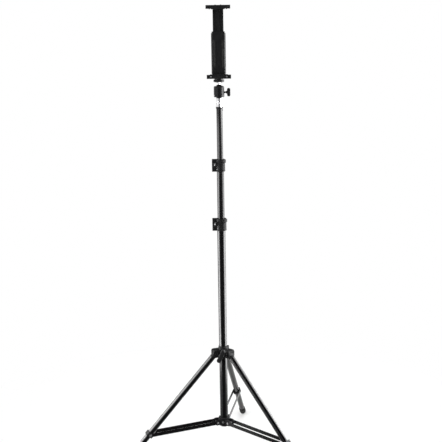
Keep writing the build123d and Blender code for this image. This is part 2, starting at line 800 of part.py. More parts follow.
housing_foot = head_foot + head_boss_height
knob_height = ball_centre - knob_screw_drop
screw_tip = ball_radius + side_gap + side_gap
with BuildPart() as housing:
    turned(
        level(head_foot),
        [
            (0, 0),
            (head_boss_radius, 0),
            (head_boss_radius, head_boss_height),
            (head_flange_radius, head_boss_height),
            (head_flange_radius, head_boss_height + head_flange),
            (head_groove_radius, head_boss_height + head_flange),
            (head_groove_radius, head_boss_height + head_flange + head_groove),
            (head_radius, head_boss_height + head_flange + head_groove),
            (head_radius, head_boss_height + head_height - head_shoulder),
            (head_rim_radius, head_boss_height + head_height),
            (0, head_boss_height + head_height),
        ],
    )
    with Locations(level(ball_centre).location):
        Sphere(ball_radius + running_gap, mode=Mode.SUBTRACT)
    cavity_foot = housing_foot + head_floor
    disc(level(cavity_foot), ball_radius + side_gap, ball_centre - cavity_foot, mode=Mode.SUBTRACT)
    disc(level(head_foot), thread_radius + seat_gap, spigot_thread + soft_edge, mode=Mode.SUBTRACT)
    # Notch for the stem, at the back
    with BuildSketch(front(0)):
        with Locations((0, ball_centre)):
            Circle(stem_radius + notch_gap)
            Rectangle(2 * (stem_radius + notch_gap), head_height, align=(Align.CENTER, Align.MIN))
    extrude(amount=-(head_radius + overrun), mode=Mode.SUBTRACT)
    disc(facing(0, 0, knob_height), knob_screw_radius + running_gap, head_radius + overrun, mode=Mode.SUBTRACT)
save(housing, "head_housing")

with BuildPart() as ball_seat:
    disc(level(cavity_foot), ball_radius, seat_height)
    with Locations(level(ball_centre).location):
        Sphere(ball_radius + running_gap, mode=Mode.SUBTRACT)
    disc(facing(0, screw_tip - seat_height / 3, knob_height), knob_screw_radius + side_gap, head_radius,
         mode=Mode.SUBTRACT)
save(ball_seat, "ball_seat")

with BuildPart() as head_knob_screw:
    disc(
        facing(0, screw_tip - seat_height / 3 + side_gap, knob_height),
        knob_screw_radius,
        head_radius + knob_reach + head_knob_depth / 2 - screw_tip + seat_height / 3 - side_gap,
    )
save(head_knob_screw, "head_knob_screw")

with BuildPart() as head_knob:
    wing_knob(
        facing(0, head_radius + knob_reach, knob_height),
        head_knob_span,
        head_knob_depth,
        head_knob_neck,
        90,
        head_wing_width,
        2 * knob_screw_radius,
        knob_screw_radius,
        head_knob_depth / 2,
    )
save(head_knob, "head_knob")

stem_foot = ball_centre + ball_radius / 2
with BuildPart() as ball:
    with Locations(level(ball_centre).location):
        Sphere(ball_radius)
    disc(level(stem_foot), stem_radius + seat_gap, ball_radius, mode=Mode.SUBTRACT)
save(ball, "ball")

stem_top = jaw_foot + lower_jaw_height / 2
with BuildPart() as stem:
    disc(level(stem_foot), stem_radius, platform_foot + platform_cone - stem_foot)
    disc(level(stem_foot), thread_radius, stem_top - stem_foot)
    chamfer(stem.edges().filter_by(GeomType.CIRCLE).group_by(Axis.Z)[-1], soft_edge)
save(stem, "ball_stem")

with BuildPart() as platform:
    turned(
        level(platform_foot),
        [
            (0, 0),
            (stem_radius + soft_edge, 0),
            (platform_radius - soft_edge, platform_cone),
            (platform_radius, platform_cone + soft_edge),
            (platform_radius, platform_cone + platform_height - soft_edge),
            (platform_radius - soft_edge, platform_cone + platform_height),
            (0, platform_cone + platform_height),
        ],
    )
    disc(level(platform_foot), stem_radius + seat_gap, platform_cone, mode=Mode.SUBTRACT)
    disc(level(platform_foot), thread_radius + seat_gap, platform_cone + platform_height, mode=Mode.SUBTRACT)
save(platform, "head_platform")


# Tablet clamp: lower jaw and spine in one moulding, slider and upper jaw above

def jaw_plan(foot, height):
    # Plan of a jaw: a narrow bar over the full width with a deeper centre block.
    step = jaw_lip / 2
    with BuildSketch(level(foot)) as plan:
        with Locations((0, -(jaw_front - step))):
            Rectangle(jaw_width, jaw_front - step + spine_front, align=(Align.CENTER, Align.MIN))
        with Locations((0, -jaw_front)):
            Rectangle(jaw_centre_width, jaw_front + jaw_back, align=(Align.CENTER, Align.MIN))
        fillet(plan.vertices().group_by(Axis.X)[0], jaw_corner)
        fillet(plan.vertices().group_by(Axis.X)[-1], jaw_corner)
    extrude(plan.sketch, amount=height)


def lip(foot, height, width):
    # Lip along the front edge, reaching over the tablet.
    with BuildSketch(level(foot)) as plan:
        with Locations((0, -(jaw_front - jaw_lip))):
            Rectangle(width, jaw_lip if width < jaw_width else jaw_lip / 2, align=(Align.CENTER, Align.MAX))
    extrude(plan.sketch, amount=height)


def front_screws(place, height, mode, gap=0):
    # Screws in the jaw's front, one each side; a gap turns them into their own holes.
    for side in (1, -1):
        depth = jaw_front if place < jaw_centre_width / 2 else jaw_front - jaw_lip / 2
        seat = Plane(
            origin=(column_x + side * place, column_y - depth + cover_screw_height / 2, height),
            x_dir=(1, 0, 0),
            z_dir=(0, -1, 0),
        )
        fastener(seat, cover_screw_radius + gap, jaw_lip, cover_screw_head + gap, cover_screw_height + gap, mode)


def groove(height):
    # Shallow line across the jaw's front.
    with BuildSketch(front(jaw_front)) as line:
        with Locations((0, height)):
            SlotOverall(jaw_groove_length, jaw_groove_width)
    extrude(line.sketch, amount=-jaw_groove, mode=Mode.SUBTRACT)


cover_places = [
    (side * (spine_width / 2 - spine_side / 2), height)
    for side in (1, -1)
    for height in (jaw_top + 2 * spine_side, spine_top - 2 * spine_side)
]
lower_screw_height = jaw_foot + lower_screw_rise
with BuildPart() as clamp_body:
    jaw_plan(jaw_foot, lower_jaw_height)
    lip(jaw_foot, lower_jaw_height + pad_thickness + lip_overlap, jaw_centre_width)
    lip(jaw_foot, lower_jaw_height + pad_thickness + lip_overlap - wing_drop, jaw_width)
    disc(level(platform_top), clamp_boss_radius, clamp_boss_height)
    with BuildSketch(level(jaw_top)) as spine_plan:
        with Locations((0, -spine_front)):
            Rectangle(spine_width, spine_front + cavity_back, align=(Align.CENTER, Align.MIN))
        fillet(spine_plan.vertices().group_by(Axis.Y)[0], jaw_corner)
    extrude(amount=spine_height)
    # Back of the jaw makes room for the cover
    with BuildSketch(level(jaw_foot)):
        with Locations((0, cavity_back)):
            Rectangle(jaw_width, jaw_back, align=(Align.CENTER, Align.MIN))
    extrude(amount=lower_jaw_height + spine_height, mode=Mode.SUBTRACT)
    with BuildSketch(level(jaw_top)):
        with Locations((0, cavity_front)):
            Rectangle(spine_width - 2 * spine_side, jaw_back + overrun, align=(Align.CENTER, Align.MIN))
    extrude(amount=spine_height, mode=Mode.SUBTRACT)
    with BuildSketch(front(-cavity_back)):
        with Locations(*cover_places):
            Circle(cover_screw_radius / 2 + seat_gap)
    extrude(amount=jaw_lip, mode=Mode.SUBTRACT)
    disc(level(platform_top), insert_radius + seat_gap, insert_height, mode=Mode.SUBTRACT)
    front_screws(lower_screw_place, lower_screw_height, Mode.SUBTRACT, seat_gap)
    groove(lower_screw_height + jaw_lip)
save(clamp_body, "clamp_body")

with BuildPart() as thread_insert:
    ring(level(platform_top), insert_radius, thread_radius + running_gap, insert_height)
save(thread_insert, "thread_insert")

slot_low = stud_height - jaw_travel_in
slot_high = stud_height + jaw_travel_out
with BuildPart() as cover:
    with BuildSketch(front(-cavity_back)) as plate:
        with Locations((0, jaw_foot)):
            Rectangle(spine_width, spine_top - jaw_foot, align=(Align.CENTER, Align.MIN))
        fillet(plate.vertices(), jaw_corner)
        with Locations((0, (slot_low + slot_high) / 2)):
            SlotCenterToCenter(slot_high - slot_low, 2 * (lock_stud_radius + side_gap), 90, mode=Mode.SUBTRACT)
    extrude(amount=-cover_thickness)
    chamfer(cover.faces().sort_by(Axis.Y)[-1].outer_wire().edges(), soft_edge)
    with BuildSketch(front(-cavity_back)):
        with Locations(*cover_places):
            Circle(cover_screw_radius / 2 + seat_gap)
    extrude(amount=-cover_thickness, mode=Mode.SUBTRACT)
save(cover, "clamp_cover")

with BuildPart() as clamp_screws:
    for x, height in cover_places:
        seat = Plane(
            origin=(column_x + x, column_y + cavity_back + cover_thickness, height),
            x_dir=(1, 0, 0),
            z_dir=(0, 1, 0),
        )
        fastener(seat, cover_screw_radius / 2, cover_thickness + jaw_lip - soft_edge, cover_screw_radius,
                 cover_screw_height)
    front_screws(lower_screw_place, lower_screw_height, Mode.ADD)
save(clamp_screws, "clamp_screws")


def jaw_pad(foot):
    with BuildSketch(level(foot)) as plan:
        with Locations((0, -(jaw_front - jaw_lip))):
            Rectangle(
                jaw_centre_width - 2 * jaw_corner,
                jaw_front - jaw_lip - spine_front - pad_thickness,
                align=(Align.CENTER, Align.MIN),
            )
    extrude(plan.sketch, amount=pad_thickness)


with BuildPart() as lower_pad:
    jaw_pad(jaw_top)
save(lower_pad, "lower_jaw_pad")

pad_place = spine_width / 2 - spine_pad_width
with BuildPart() as spine_pads:
    for side in (1, -1):
        with BuildSketch(front(spine_front)):
            with Locations((side * pad_place, jaw_top + spine_height / 2)):
                RectangleRounded(spine_pad_width, spine_pad_length, jaw_corner)
        extrude(amount=pad_thickness)
save(spine_pads, "spine_pads")

# Upper jaw on its slider
jaw_crown = upper_jaw_foot + upper_jaw_height
upper_lip_foot = upper_seat - lip_overlap - soft_edge
upper_screw_height = (upper_lip_foot + jaw_crown) / 2
slider_half = spine_width / 2 - spine_side - slide_gap
top_screw_places = [(side * slider_half / 2, cavity_front + slide_gap + slider_depth / 2) for side in (1, -1)]
with BuildPart() as upper_jaw:
    jaw_plan(upper_jaw_foot, upper_jaw_height)
    lip(upper_lip_foot, jaw_crown - upper_lip_foot, jaw_centre_width)
    lip(upper_lip_foot + wing_drop, jaw_crown - upper_lip_foot - wing_drop, jaw_width)
    for side in (1, -1):
        with BuildSketch(front(jaw_front + overrun)):
            with Locations((side * upper_screw_place * 3 / 4, upper_lip_foot)):
                Circle(notch_width / 2)
        extrude(amount=-(jaw_lip + overrun), mode=Mode.SUBTRACT)
    front_screws(upper_screw_place, upper_screw_height, Mode.SUBTRACT, seat_gap)
    groove(upper_screw_height)
    with BuildSketch(level(upper_jaw_foot)):
        with Locations(*top_screw_places):
            Circle(cover_screw_radius + seat_gap)
    extrude(amount=upper_jaw_height, mode=Mode.SUBTRACT)
save(upper_jaw, "upper_jaw")

with BuildPart() as upper_pad:
    jaw_pad(upper_seat)
save(upper_pad, "upper_jaw_pad")

with BuildPart() as slider:
    with BuildSketch(level(slider_foot)) as plan:
        with Locations((0, cavity_front + slide_gap)):
            Rectangle(2 * slider_half, slider_depth, align=(Align.CENTER, Align.MIN))
    extrude(amount=slider_length)
    chamfer(slider.edges().filter_by(Axis.Z), soft_edge)
    # Two shallow channels down the front lighten the slider
    for side in (1, -1):
        with BuildSketch(front(-(cavity_front + slide_gap))):
            with Locations((side * slider_half / 2, slider_foot + slider_length / 2)):
                SlotOverall(slider_length - 4 * spine_side, slider_half / 2, 90)
        extrude(amount=-slider_depth / 4, mode=Mode.SUBTRACT)
    with BuildSketch(front(0)):
        with Locations((0, stud_height)):
            Circle(lock_stud_radius + running_gap)
    extrude(amount=-(cavity_back + overrun), mode=Mode.SUBTRACT)
    with BuildSketch(level(upper_jaw_foot)):
        with Locations(*top_screw_places):
            Circle(cover_screw_radius + seat_gap)
    extrude(amount=-2 * upper_jaw_height, mode=Mode.SUBTRACT)
save(slider, "jaw_slider")

with BuildPart() as jaw_screws:
    for x, y in top_screw_places:
        fastener(
            Plane(origin=(column_x + x, column_y + y, jaw_crown)),
            cover_screw_radius,
            upper_jaw_height + 2 * upper_jaw_height - soft_edge,
            cover_screw_head,
            cover_screw_height,
        )
    front_screws(upper_screw_place, upper_screw_height, Mode.ADD)
save(jaw_screws, "upper_jaw_screws")

knob_start = cavity_back + cover_thickness + side_gap
with BuildPart() as jaw_knob:
    with BuildSketch(front(-knob_start)):
        with Locations((0, stud_height)):
            Circle(jaw_knob_radius)
            with PolarLocations(jaw_knob_radius + jaw_knob_grip / 2, jaw_knob_grips):
                Circle(jaw_knob_grip, mode=Mode.SUBTRACT)
    extrude(amount=-jaw_knob_depth)
    with BuildSketch(front(-knob_start)):
        with Locations((0, stud_height)):
            Circle(lock_stud_radius + seat_gap)
    extrude(amount=-jaw_knob_depth / 2, mode=Mode.SUBTRACT)
save(jaw_knob, "jaw_knob")

with BuildPart() as jaw_stud:
    with BuildSketch(front(-side_gap)):
        with Locations((0, stud_height)):
            Circle(lock_stud_radius)
    extrude(amount=-(knob_start + jaw_knob_depth / 2 - side_gap))
save(jaw_stud, "jaw_knob_stud")
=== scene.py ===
import json
import math
import bpy
from mathutils import Matrix, Vector

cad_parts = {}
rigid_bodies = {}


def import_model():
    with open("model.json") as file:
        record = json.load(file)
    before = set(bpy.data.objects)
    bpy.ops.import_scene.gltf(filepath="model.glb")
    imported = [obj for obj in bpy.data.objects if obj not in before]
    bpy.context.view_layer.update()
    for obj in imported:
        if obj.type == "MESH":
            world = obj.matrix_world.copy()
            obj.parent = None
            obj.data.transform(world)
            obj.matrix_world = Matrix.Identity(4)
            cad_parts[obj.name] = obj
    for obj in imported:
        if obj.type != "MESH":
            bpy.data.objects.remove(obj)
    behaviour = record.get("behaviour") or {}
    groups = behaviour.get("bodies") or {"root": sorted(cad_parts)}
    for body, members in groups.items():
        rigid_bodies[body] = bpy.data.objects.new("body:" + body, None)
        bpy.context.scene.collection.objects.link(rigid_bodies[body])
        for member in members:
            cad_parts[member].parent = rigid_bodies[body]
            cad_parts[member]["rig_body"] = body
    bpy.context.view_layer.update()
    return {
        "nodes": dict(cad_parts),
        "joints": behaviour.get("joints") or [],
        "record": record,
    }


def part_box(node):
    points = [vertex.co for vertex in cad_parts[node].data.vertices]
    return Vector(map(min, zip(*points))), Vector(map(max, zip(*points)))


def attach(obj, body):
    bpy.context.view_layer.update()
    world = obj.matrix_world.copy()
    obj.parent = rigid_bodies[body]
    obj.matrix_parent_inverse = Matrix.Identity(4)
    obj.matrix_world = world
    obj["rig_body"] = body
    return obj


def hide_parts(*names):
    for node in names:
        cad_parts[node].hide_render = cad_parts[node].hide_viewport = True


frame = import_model()
mm = 0.001

# Where things are, from the frame's own joints and mounts
joints = {joint["name"]: joint for joint in frame["joints"]}
mounts = {mount["name"]: mount for mount in frame["record"]["mounts"]}
slotOf = {part["node"]: part["material_slot"] for part in frame["record"]["subparts"]}
bodyOf = {node: piece["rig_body"] for node, piece in frame["nodes"].items()}
columnAxis = Vector(joints["head_pan"]["pos_m"][:2] + [0])
legNumbers = (1, 2, 3)


def pivotOf(joint):
    return Vector(joints[joint]["pos_m"])


print("frame loaded:", len(frame["nodes"]), "nodes")


# Camera: a long lens, level with the clamp, tipped down and slightly rolled
cameraValues = {
    "lens": 73.3,
    "aside": -0.37 * mm,
    "back": 2354 * mm,
    "height": 1228.2 * mm,
    "tiltDown": 12.6,
    "roll": -0.89,
}


def setCamera(values):
    spot = columnAxis + Vector((values["aside"], -values["back"], values["height"]))
    bpy.ops.object.camera_add(location=spot, rotation=(math.radians(90 - values["tiltDown"]), 0, 0))
    camera = bpy.context.object
    camera.rotation_euler.rotate_axis("Z", math.radians(values["roll"]))
    camera.data.lens = values["lens"]
    camera.data.sensor_width = 36
    camera.data.clip_end = 60
    bpy.context.scene.camera = camera
    bpy.context.scene.view_settings.view_transform = "Standard"


# Lamps: place from the column's foot, size, brightness of their face and the height that they point at.
# The dull one isn't seen in glossy surfaces. Panels light nothing and are only seen there, as long white bands.
lampValues = {
    "keyBox": {"place": (-1.9, -1.7, 1.9), "size": (1.3, 1.3), "bright": 6.4, "aim": 0.75},
    "fillBox": {"place": (2.1, -1.3, 1.3), "size": (1.5, 1.5), "bright": 2.6, "aim": 0.65},
    "backBox": {"place": (0.5, 2.2, 2.3), "size": (1.6, 1.6), "bright": 3.2, "aim": 0.7, "dull": True},
}
panelValues = {
    "leftFootPanel": {"place": (-0.587, -0.125, 0.09), "size": (0.61, 0.09), "bright": 13, "aim": 0.09},
    "leftLowPanel": {"place": (-0.587, -0.049, 0.34), "size": (0.437, 0.42), "bright": 21, "aim": 0.34},
    "leftMidPanel": {"place": (-0.597, -0.12, 0.65), "size": (0.614, 0.2), "bright": 13, "aim": 0.65},
    "leftHighPanel": {"place": (-0.552, -0.26, 0.825), "size": (1.054, 0.15), "bright": 7.5, "aim": 0.825},
    "leftTopPanel": {"place": (-2.0, 0.3, 2.1), "size": (3.6, 1.3), "bright": 6, "aim": 0.5},
    "rightFootPanel": {"place": (0.599, 0.042, 0.065), "size": (0.6, 0.13), "bright": 11, "aim": 0.065},
    "rightLowPanel": {"place": (0.599, 0.042, 0.34), "size": (0.6, 0.42), "bright": 17, "aim": 0.34},
    "rightPanel": {"place": (0.599, 0.042, 0.76), "size": (0.6, 0.4), "bright": 10, "aim": 0.76},
    "rightHeadPanel": {"place": (1.8, -0.27, 0.98), "size": (1.5, 0.36), "bright": 20, "aim": 0.98},
    "rightTopPanel": {"place": (1.5, 1.26, 1.35), "size": (2.4, 1.2), "bright": 7, "aim": 0.2},
    "topPanel": {"place": (0.1, -0.7, 2.7), "size": (2.2, 1.8), "bright": 2.5, "aim": 0.3},
}
# Strength of the air's light, of the white that is seen, and of the gaps; heights where the dark overhead begins
airValues = {"light": 0.62, "white": 1.0, "dark": 0.04, "backDark": 0.12, "overheadFrom": 0.4, "overheadTo": 0.65}
# Dark gaps in the studio, in degrees: one ahead of the object and one behind it, seen in glossy surfaces
slotValues = {"aside": -5, "half": 21, "soft": 7}
wideValues = {"aside": 8, "half": 50, "soft": 8, "from": 4.0, "to": 7.0}  # the first gap, wider on the near floor
backValues = {"aside": 0, "half": 24, "soft": 10, "behind": True}
floorValues = {
    "size": 60, "colour": (0.93, 0.93, 0.925), "mottle": 0.01, "fibre": 0.4 * mm, "fibreDeep": 0.03 * mm, "rough": 0.9,
    "nearWhite": 0.3, "farWhite": 0.95,
}


def setLamps(values, shine=False):
    for name, lamp in values.items():
        spot = columnAxis + Vector(lamp["place"])
        bpy.ops.object.light_add(type="AREA", location=spot)
        box = bpy.context.object
        box.name = name
        box.data.shape = "RECTANGLE"
        box.data.size, box.data.size_y = lamp["size"]
        box.data.energy = math.pi * lamp["bright"] * lamp["size"][0] * lamp["size"][1]
        target = columnAxis + Vector((0, 0, lamp["aim"]))
        box.rotation_euler = (target - spot).to_track_quat("-Z", "Y").to_euler()
        box.visible_camera = False
        box.visible_diffuse = not shine
        box.visible_glossy = not lamp.get("dull", False)


class Wire:
    # A socket in a sum: each sign adds its Math node
    def __init__(self, finish, socket):
        self.finish = finish
        self.socket = socket

    def maths(self, operation, first, second):
        return self.finish.node("Math", {"operation": operation}, {0: first, 1: second})

    def __add__(self, other):
        return self.maths("ADD", self, other)

    def __sub__(self, other):
        return self.maths("SUBTRACT", self, other)

    def __rsub__(self, other):
        return self.maths("SUBTRACT", other, self)

    def __mul__(self, other):
        return self.maths("MULTIPLY", self, other)

    def __truediv__(self, other):
        return self.maths("DIVIDE", self, other)

    def most(self, other):
        return self.maths("MAXIMUM", self, other)

    def size(self):
        return self.maths("ABSOLUTE", self, 0)

    __radd__ = __add__
    __rmul__ = __mul__


class Finish:
    # One material with its node tree
    def __init__(self, name, tree=None):
        if tree is None:
            self.material = bpy.data.materials.new(name)
            self.material.use_nodes = True
            tree = self.material.node_tree
            self.shader = tree.nodes["Principled BSDF"]
        self.tree = tree

    def join(self, value, socket):
        if isinstance(value, Wire):
            self.tree.links.new(value.socket, socket)
        else:
            socket.default_value = value

    def node(self, kind, settings=None, sockets=None, out=0):
        made = self.tree.nodes.new("ShaderNode" + kind)
        for name, value in (settings or {}).items():
            if name == "stops":
                ramp = made.color_ramp
                for step, (place, shade) in enumerate(value):
                    stop = ramp.elements[step] if step < 2 else ramp.elements.new(place)
                    stop.position = place
                    stop.color = (shade, shade, shade, 1)
            else:
                setattr(made, name, value)
        for name, value in (sockets or {}).items():
            self.join(value, made.inputs[name])
        return Wire(self, made.outputs[out]) if made.outputs else None

    def set(self, sockets):
        for name, value in sockets.items():
            self.join(value, self.shader.inputs[name])

    def split(self, vector):
        apart = self.node("SeparateXYZ", sockets={0: vector})
        return [Wire(self, socket) for socket in apart.socket.node.outputs]

    def place(self, stretch=(1, 1, 1)):
        spot = self.node("TexCoord", out="Object")
        if stretch == (1, 1, 1):
            return spot
        return self.node("Mapping", sockets={"Vector": spot, "Scale": stretch})

    def noise(self, grain, detail=2.0, stretch=(1, 1, 1)):
        # grain is the size of the pattern in metres
        return self.node("TexNoise", sockets={"Vector": self.place(stretch), "Scale": 1 / grain, "Detail": detail})

    def cells(self, grain):
        return self.node("TexVoronoi", sockets={"Vector": self.place(), "Scale": 1 / grain})

    def ramp(self, value, stops):
        return self.node("ValToRGB", {"stops": stops}, {"Fac": value})

    def blend(self, mask, dark, light):
        dark, light = [shade if isinstance(shade, Wire) else (*shade, 1) for shade in (dark, light)]
        return self.node("Mix", {"data_type": "RGBA"}, {0: mask, 6: dark, 7: light}, out=2)

    def bump(self, height, depth, below=None):
        sockets = {"Height": height, "Distance": depth, "Strength": 1.0}
        if below is not None:
            sockets["Normal"] = below
        return self.node("Bump", sockets=sockets)

    def edges(self, radius):
        # 1 on edges sharper than the radius, 0 on flats
        soft = self.node("Bevel", {"samples": 6}, {"Radius": radius})
        true = self.node("NewGeometry", out="Normal")
        near = self.node("VectorMath", {"operation": "DOT_PRODUCT"}, {0: soft, 1: true}, out="Value")
        return self.ramp(1 - near, [(0.02, 0), (0.2, 1)])


# Finishes. In each look, the sizes and depths of its pattern are in metres.

def paintedFinish(name, look):
    # Gloss enamel on steel: orange peel, faint cloudiness, a few specks of dust and lighter edges, partly from wear and
    # partly a painted highlight
    finish = Finish(name)
    cloud = finish.noise(look["cloud"], 3)
    peel = finish.noise(look["peel"], 1)
    speck = finish.ramp(finish.noise(look["speck"], 0), [(0.76, 0), (0.82, 1)])
    edge = finish.edges(look["edge"])
    base = finish.blend(cloud, look["dark"], look["light"])
    base = finish.blend(speck * look["dust"], base, look["dustColour"])
    # Edges are painted lighter: partly wear, partly a painted highlight along every edge
    base = finish.blend(edge * look["wear"], base, look["bare"])
    finish.set({
        "Base Color": base,
        "Roughness": look["rough"] + look["cloudy"] * cloud + look["cloudy"] * speck,
        "Specular IOR Level": look["specular"],
        "Normal": finish.bump(peel, look["peelDepth"]),
    })
    return finish.material


def mouldedFinish(name, look):
    # Moulded or powder-coated surface: a fine pebble grain over slow unevenness, polished a little on the edges and
    # lighter there, partly from wear and partly as a painted highlight
    finish = Finish(name)
    cloud = finish.noise(look["cloud"], 3)
    grain = finish.noise(look["grain"], 3)
    pebble = finish.cells(look["grain"] * 2)
    edge = finish.edges(look["edge"])
    base = finish.blend(cloud, look["dark"], look["light"])
    # Edges are painted lighter: partly wear, partly a painted highlight along every edge
    base = finish.blend(edge * look["wear"], base, look["bare"])
    relief = finish.bump(grain + 0.5 * pebble, look["grainDepth"])
    finish.set({
        "Base Color": base,
        "Roughness": look["rough"] + look["cloudy"] * cloud - look["polish"] * edge,
        "Specular IOR Level": look["specular"],
        "Normal": finish.bump(cloud, look["sink"], relief),
    })
    return finish.material


def metalFinish(name, look):
    # Turned or plated metal: fine lines round the axis, clouds in the plating and light scratches
    finish = Finish(name)
    cloud = finish.noise(look["cloud"], 4)
    lines = finish.noise(look["lines"], 2, look["stretch"])
    scratch = finish.ramp(finish.noise(look["scratch"], 1, (1, 6, 1)), [(0.66, 0), (0.7, 1)])
    finish.set({
        "Base Color": finish.blend(cloud, look["dark"], look["light"]),
        "Metallic": 1.0,
        "Roughness": look["rough"] + look["cloudy"] * cloud + look["cloudy"] * lines + look["scratched"] * scratch,
        "Normal": finish.bump(lines, look["lineDepth"]),
    })
    return finish.material


def rubberFinish(name, look):
    # Moulded rubber: dull, finely pitted, with a bloom of dust
    finish = Finish(name)
    cloud = finish.noise(look["cloud"], 4)
    pits = finish.noise(look["grain"], 4)
    dust = finish.ramp(finish.noise(look["dust"], 5), [(0.5, 0), (0.75, 1)])
    base = finish.blend(cloud, look["dark"], look["light"])
    finish.set({
        "Base Color": finish.blend(dust * look["dusty"], base, look["dustColour"]),
        "Roughness": look["rough"] + look["cloudy"] * pits,
        "Specular IOR Level": look["specular"],
        "Normal": finish.bump(pits, look["grainDepth"]),
    })
    return finish.material


# In each look the edge colour and its share paint the edges lighter: partly wear, partly a painted highlight
enamelLook = {
    "dark": (0.0034, 0.0033, 0.0036), "light": (0.0058, 0.0056, 0.006), "bare": (0.12, 0.12, 0.125),
    "dustColour": (0.06, 0.058, 0.056), "dust": 0.16, "wear": 0.22, "edge": 0.4 * mm,
    "cloud": 60 * mm, "peel": 1.6 * mm, "peelDepth": 0.02 * mm, "speck": 2.2 * mm,
    "rough": 0.15, "cloudy": 0.08, "specular": 0.25,
}
barLook = {**enamelLook, "rough": 0.2, "peelDepth": 0.03 * mm, "wear": 0.4, "specular": 0.24}
castLook = {
    "dark": (0.006, 0.006, 0.0065), "light": (0.011, 0.011, 0.0115), "bare": (0.1, 0.1, 0.105),
    "wear": 0.32, "edge": 0.5 * mm, "cloud": 9 * mm, "grain": 0.7 * mm, "grainDepth": 0.05 * mm, "sink": 0.12 * mm,
    "rough": 0.46, "cloudy": 0.14, "polish": 0.12, "specular": 0.06,
}
anodisedLook = {
    "dark": (0.005, 0.005, 0.0055), "light": (0.009, 0.009, 0.01), "bare": (0.24, 0.24, 0.25),
    "wear": 0.25, "edge": 0.3 * mm, "cloud": 7 * mm, "grain": 0.25 * mm, "grainDepth": 0.012 * mm, "sink": 0.02 * mm,
    "rough": 0.2, "cloudy": 0.08, "polish": 0.05, "specular": 0.13,
}
plasticLook = {
    "dark": (0.006, 0.006, 0.0065), "light": (0.01, 0.01, 0.0105), "bare": (0.04, 0.04, 0.04),
    "wear": 0.3, "edge": 0.5 * mm, "cloud": 14 * mm, "grain": 0.35 * mm, "grainDepth": 0.025 * mm, "sink": 0.1 * mm,
    "rough": 0.4, "cloudy": 0.1, "polish": 0.1, "specular": 0.08,
}
satinLook = {**plasticLook, "rough": 0.25, "cloudy": 0.12, "grainDepth": 0.012 * mm, "wear": 0.4, "specular": 0.24}
rubberLook = {
    "dark": (0.01, 0.01, 0.01), "light": (0.017, 0.017, 0.0165), "dustColour": (0.09, 0.086, 0.082), "dusty": 0.25,
    "cloud": 12 * mm, "grain": 0.5 * mm, "dust": 5 * mm, "grainDepth": 0.06 * mm,
    "rough": 0.62, "cloudy": 0.2, "specular": 0.14,
}
zincLook = {
    "dark": (0.09, 0.09, 0.094), "light": (0.15, 0.15, 0.15), "cloud": 3 * mm, "lines": 0.5 * mm, "stretch": (1, 1, 5),
    "scratch": 1.5 * mm, "rough": 0.24, "cloudy": 0.12, "scratched": 0.12, "lineDepth": 0.01 * mm,
}
chromeLook = {
    "dark": (0.7, 0.7, 0.715), "light": (0.8, 0.8, 0.81), "cloud": 12 * mm, "lines": 6 * mm, "stretch": (1, 1, 24),
    "scratch": 2.5 * mm, "rough": 0.045, "cloudy": 0.03, "scratched": 0.06, "lineDepth": 0.004 * mm,
}
brassLook = {
    "dark": (0.55, 0.4, 0.16), "light": (0.72, 0.56, 0.26), "cloud": 4 * mm, "lines": 2 * mm, "stretch": (1, 1, 12),
    "scratch": 1.5 * mm, "rough": 0.24, "cloudy": 0.1, "scratched": 0.1, "lineDepth": 0.01 * mm,
}
makers = {
    "gloss_black_tube": (paintedFinish, "tubeEnamel", enamelLook),
    "gloss_black_bar": (paintedFinish, "barEnamel", barLook),
    "black_cast": (mouldedFinish, "castBlack", castLook),
    "black_anodised": (mouldedFinish, "anodisedBlack", anodisedLook),
    "zinc_steel": (metalFinish, "zincPlate", zincLook),
    "polished_chrome": (metalFinish, "chromePlate", chromeLook),
    "brass_insert": (metalFinish, "turnedBrass", brassLook),
    "black_plastic": (mouldedFinish, "mouldedPlastic", plasticLook),
    "satin_plastic": (mouldedFinish, "satinPlastic", satinLook),
    "black_rubber": (rubberFinish, "mouldedRubber", rubberLook),
}


def gapOf(finish, vector, values):
    # 1 where a ray heads for the gap, 0 beside it
    right, back = finish.split(vector)[:2]
    if values.get("behind"):
        right, back = 0 - right, 0 - back
    aside = right.maths("ARCTAN2", right, 0 - back) - math.radians(values["aside"])
    inner, outer = (math.radians(values["half"] + sign * values["soft"]) for sign in (-1, 1))
    return finish.ramp(aside.size(), [(inner, 1), (outer, 0)])


def setAir(values):
    # Plain soft light from all round; the camera sees pure white, and so do shiny surfaces but for the dark gaps
    world = bpy.data.worlds.new("studioAir")
    bpy.context.scene.world = world
    world.use_nodes = True
    world.node_tree.nodes.clear()
    air = Finish("studioAir", world.node_tree)
    glossy = air.node("LightPath", out="Is Glossy Ray")
    seen = air.node("LightPath", out="Is Camera Ray").most(glossy)
    seen = seen.most(air.node("LightPath", out="Is Transmission Ray"))
    where = air.node("TexCoord", out="Generated")
    ahead = gapOf(air, where, slotValues) * glossy
    above = air.ramp(air.split(where)[2], [(values["overheadFrom"], 0), (values["overheadTo"], 1)])
    behind = gapOf(air, where, backValues).most(above) * glossy
    strength = values["light"] + seen * (values["white"] - values["light"])
    strength = strength - ahead * (values["white"] - values["dark"]) - behind * (values["white"] - values["backDark"])
    light = air.node("Background", sockets={"Color": (1, 1, 1, 1), "Strength": strength})
    air.node("OutputWorld", sockets={"Surface": light})


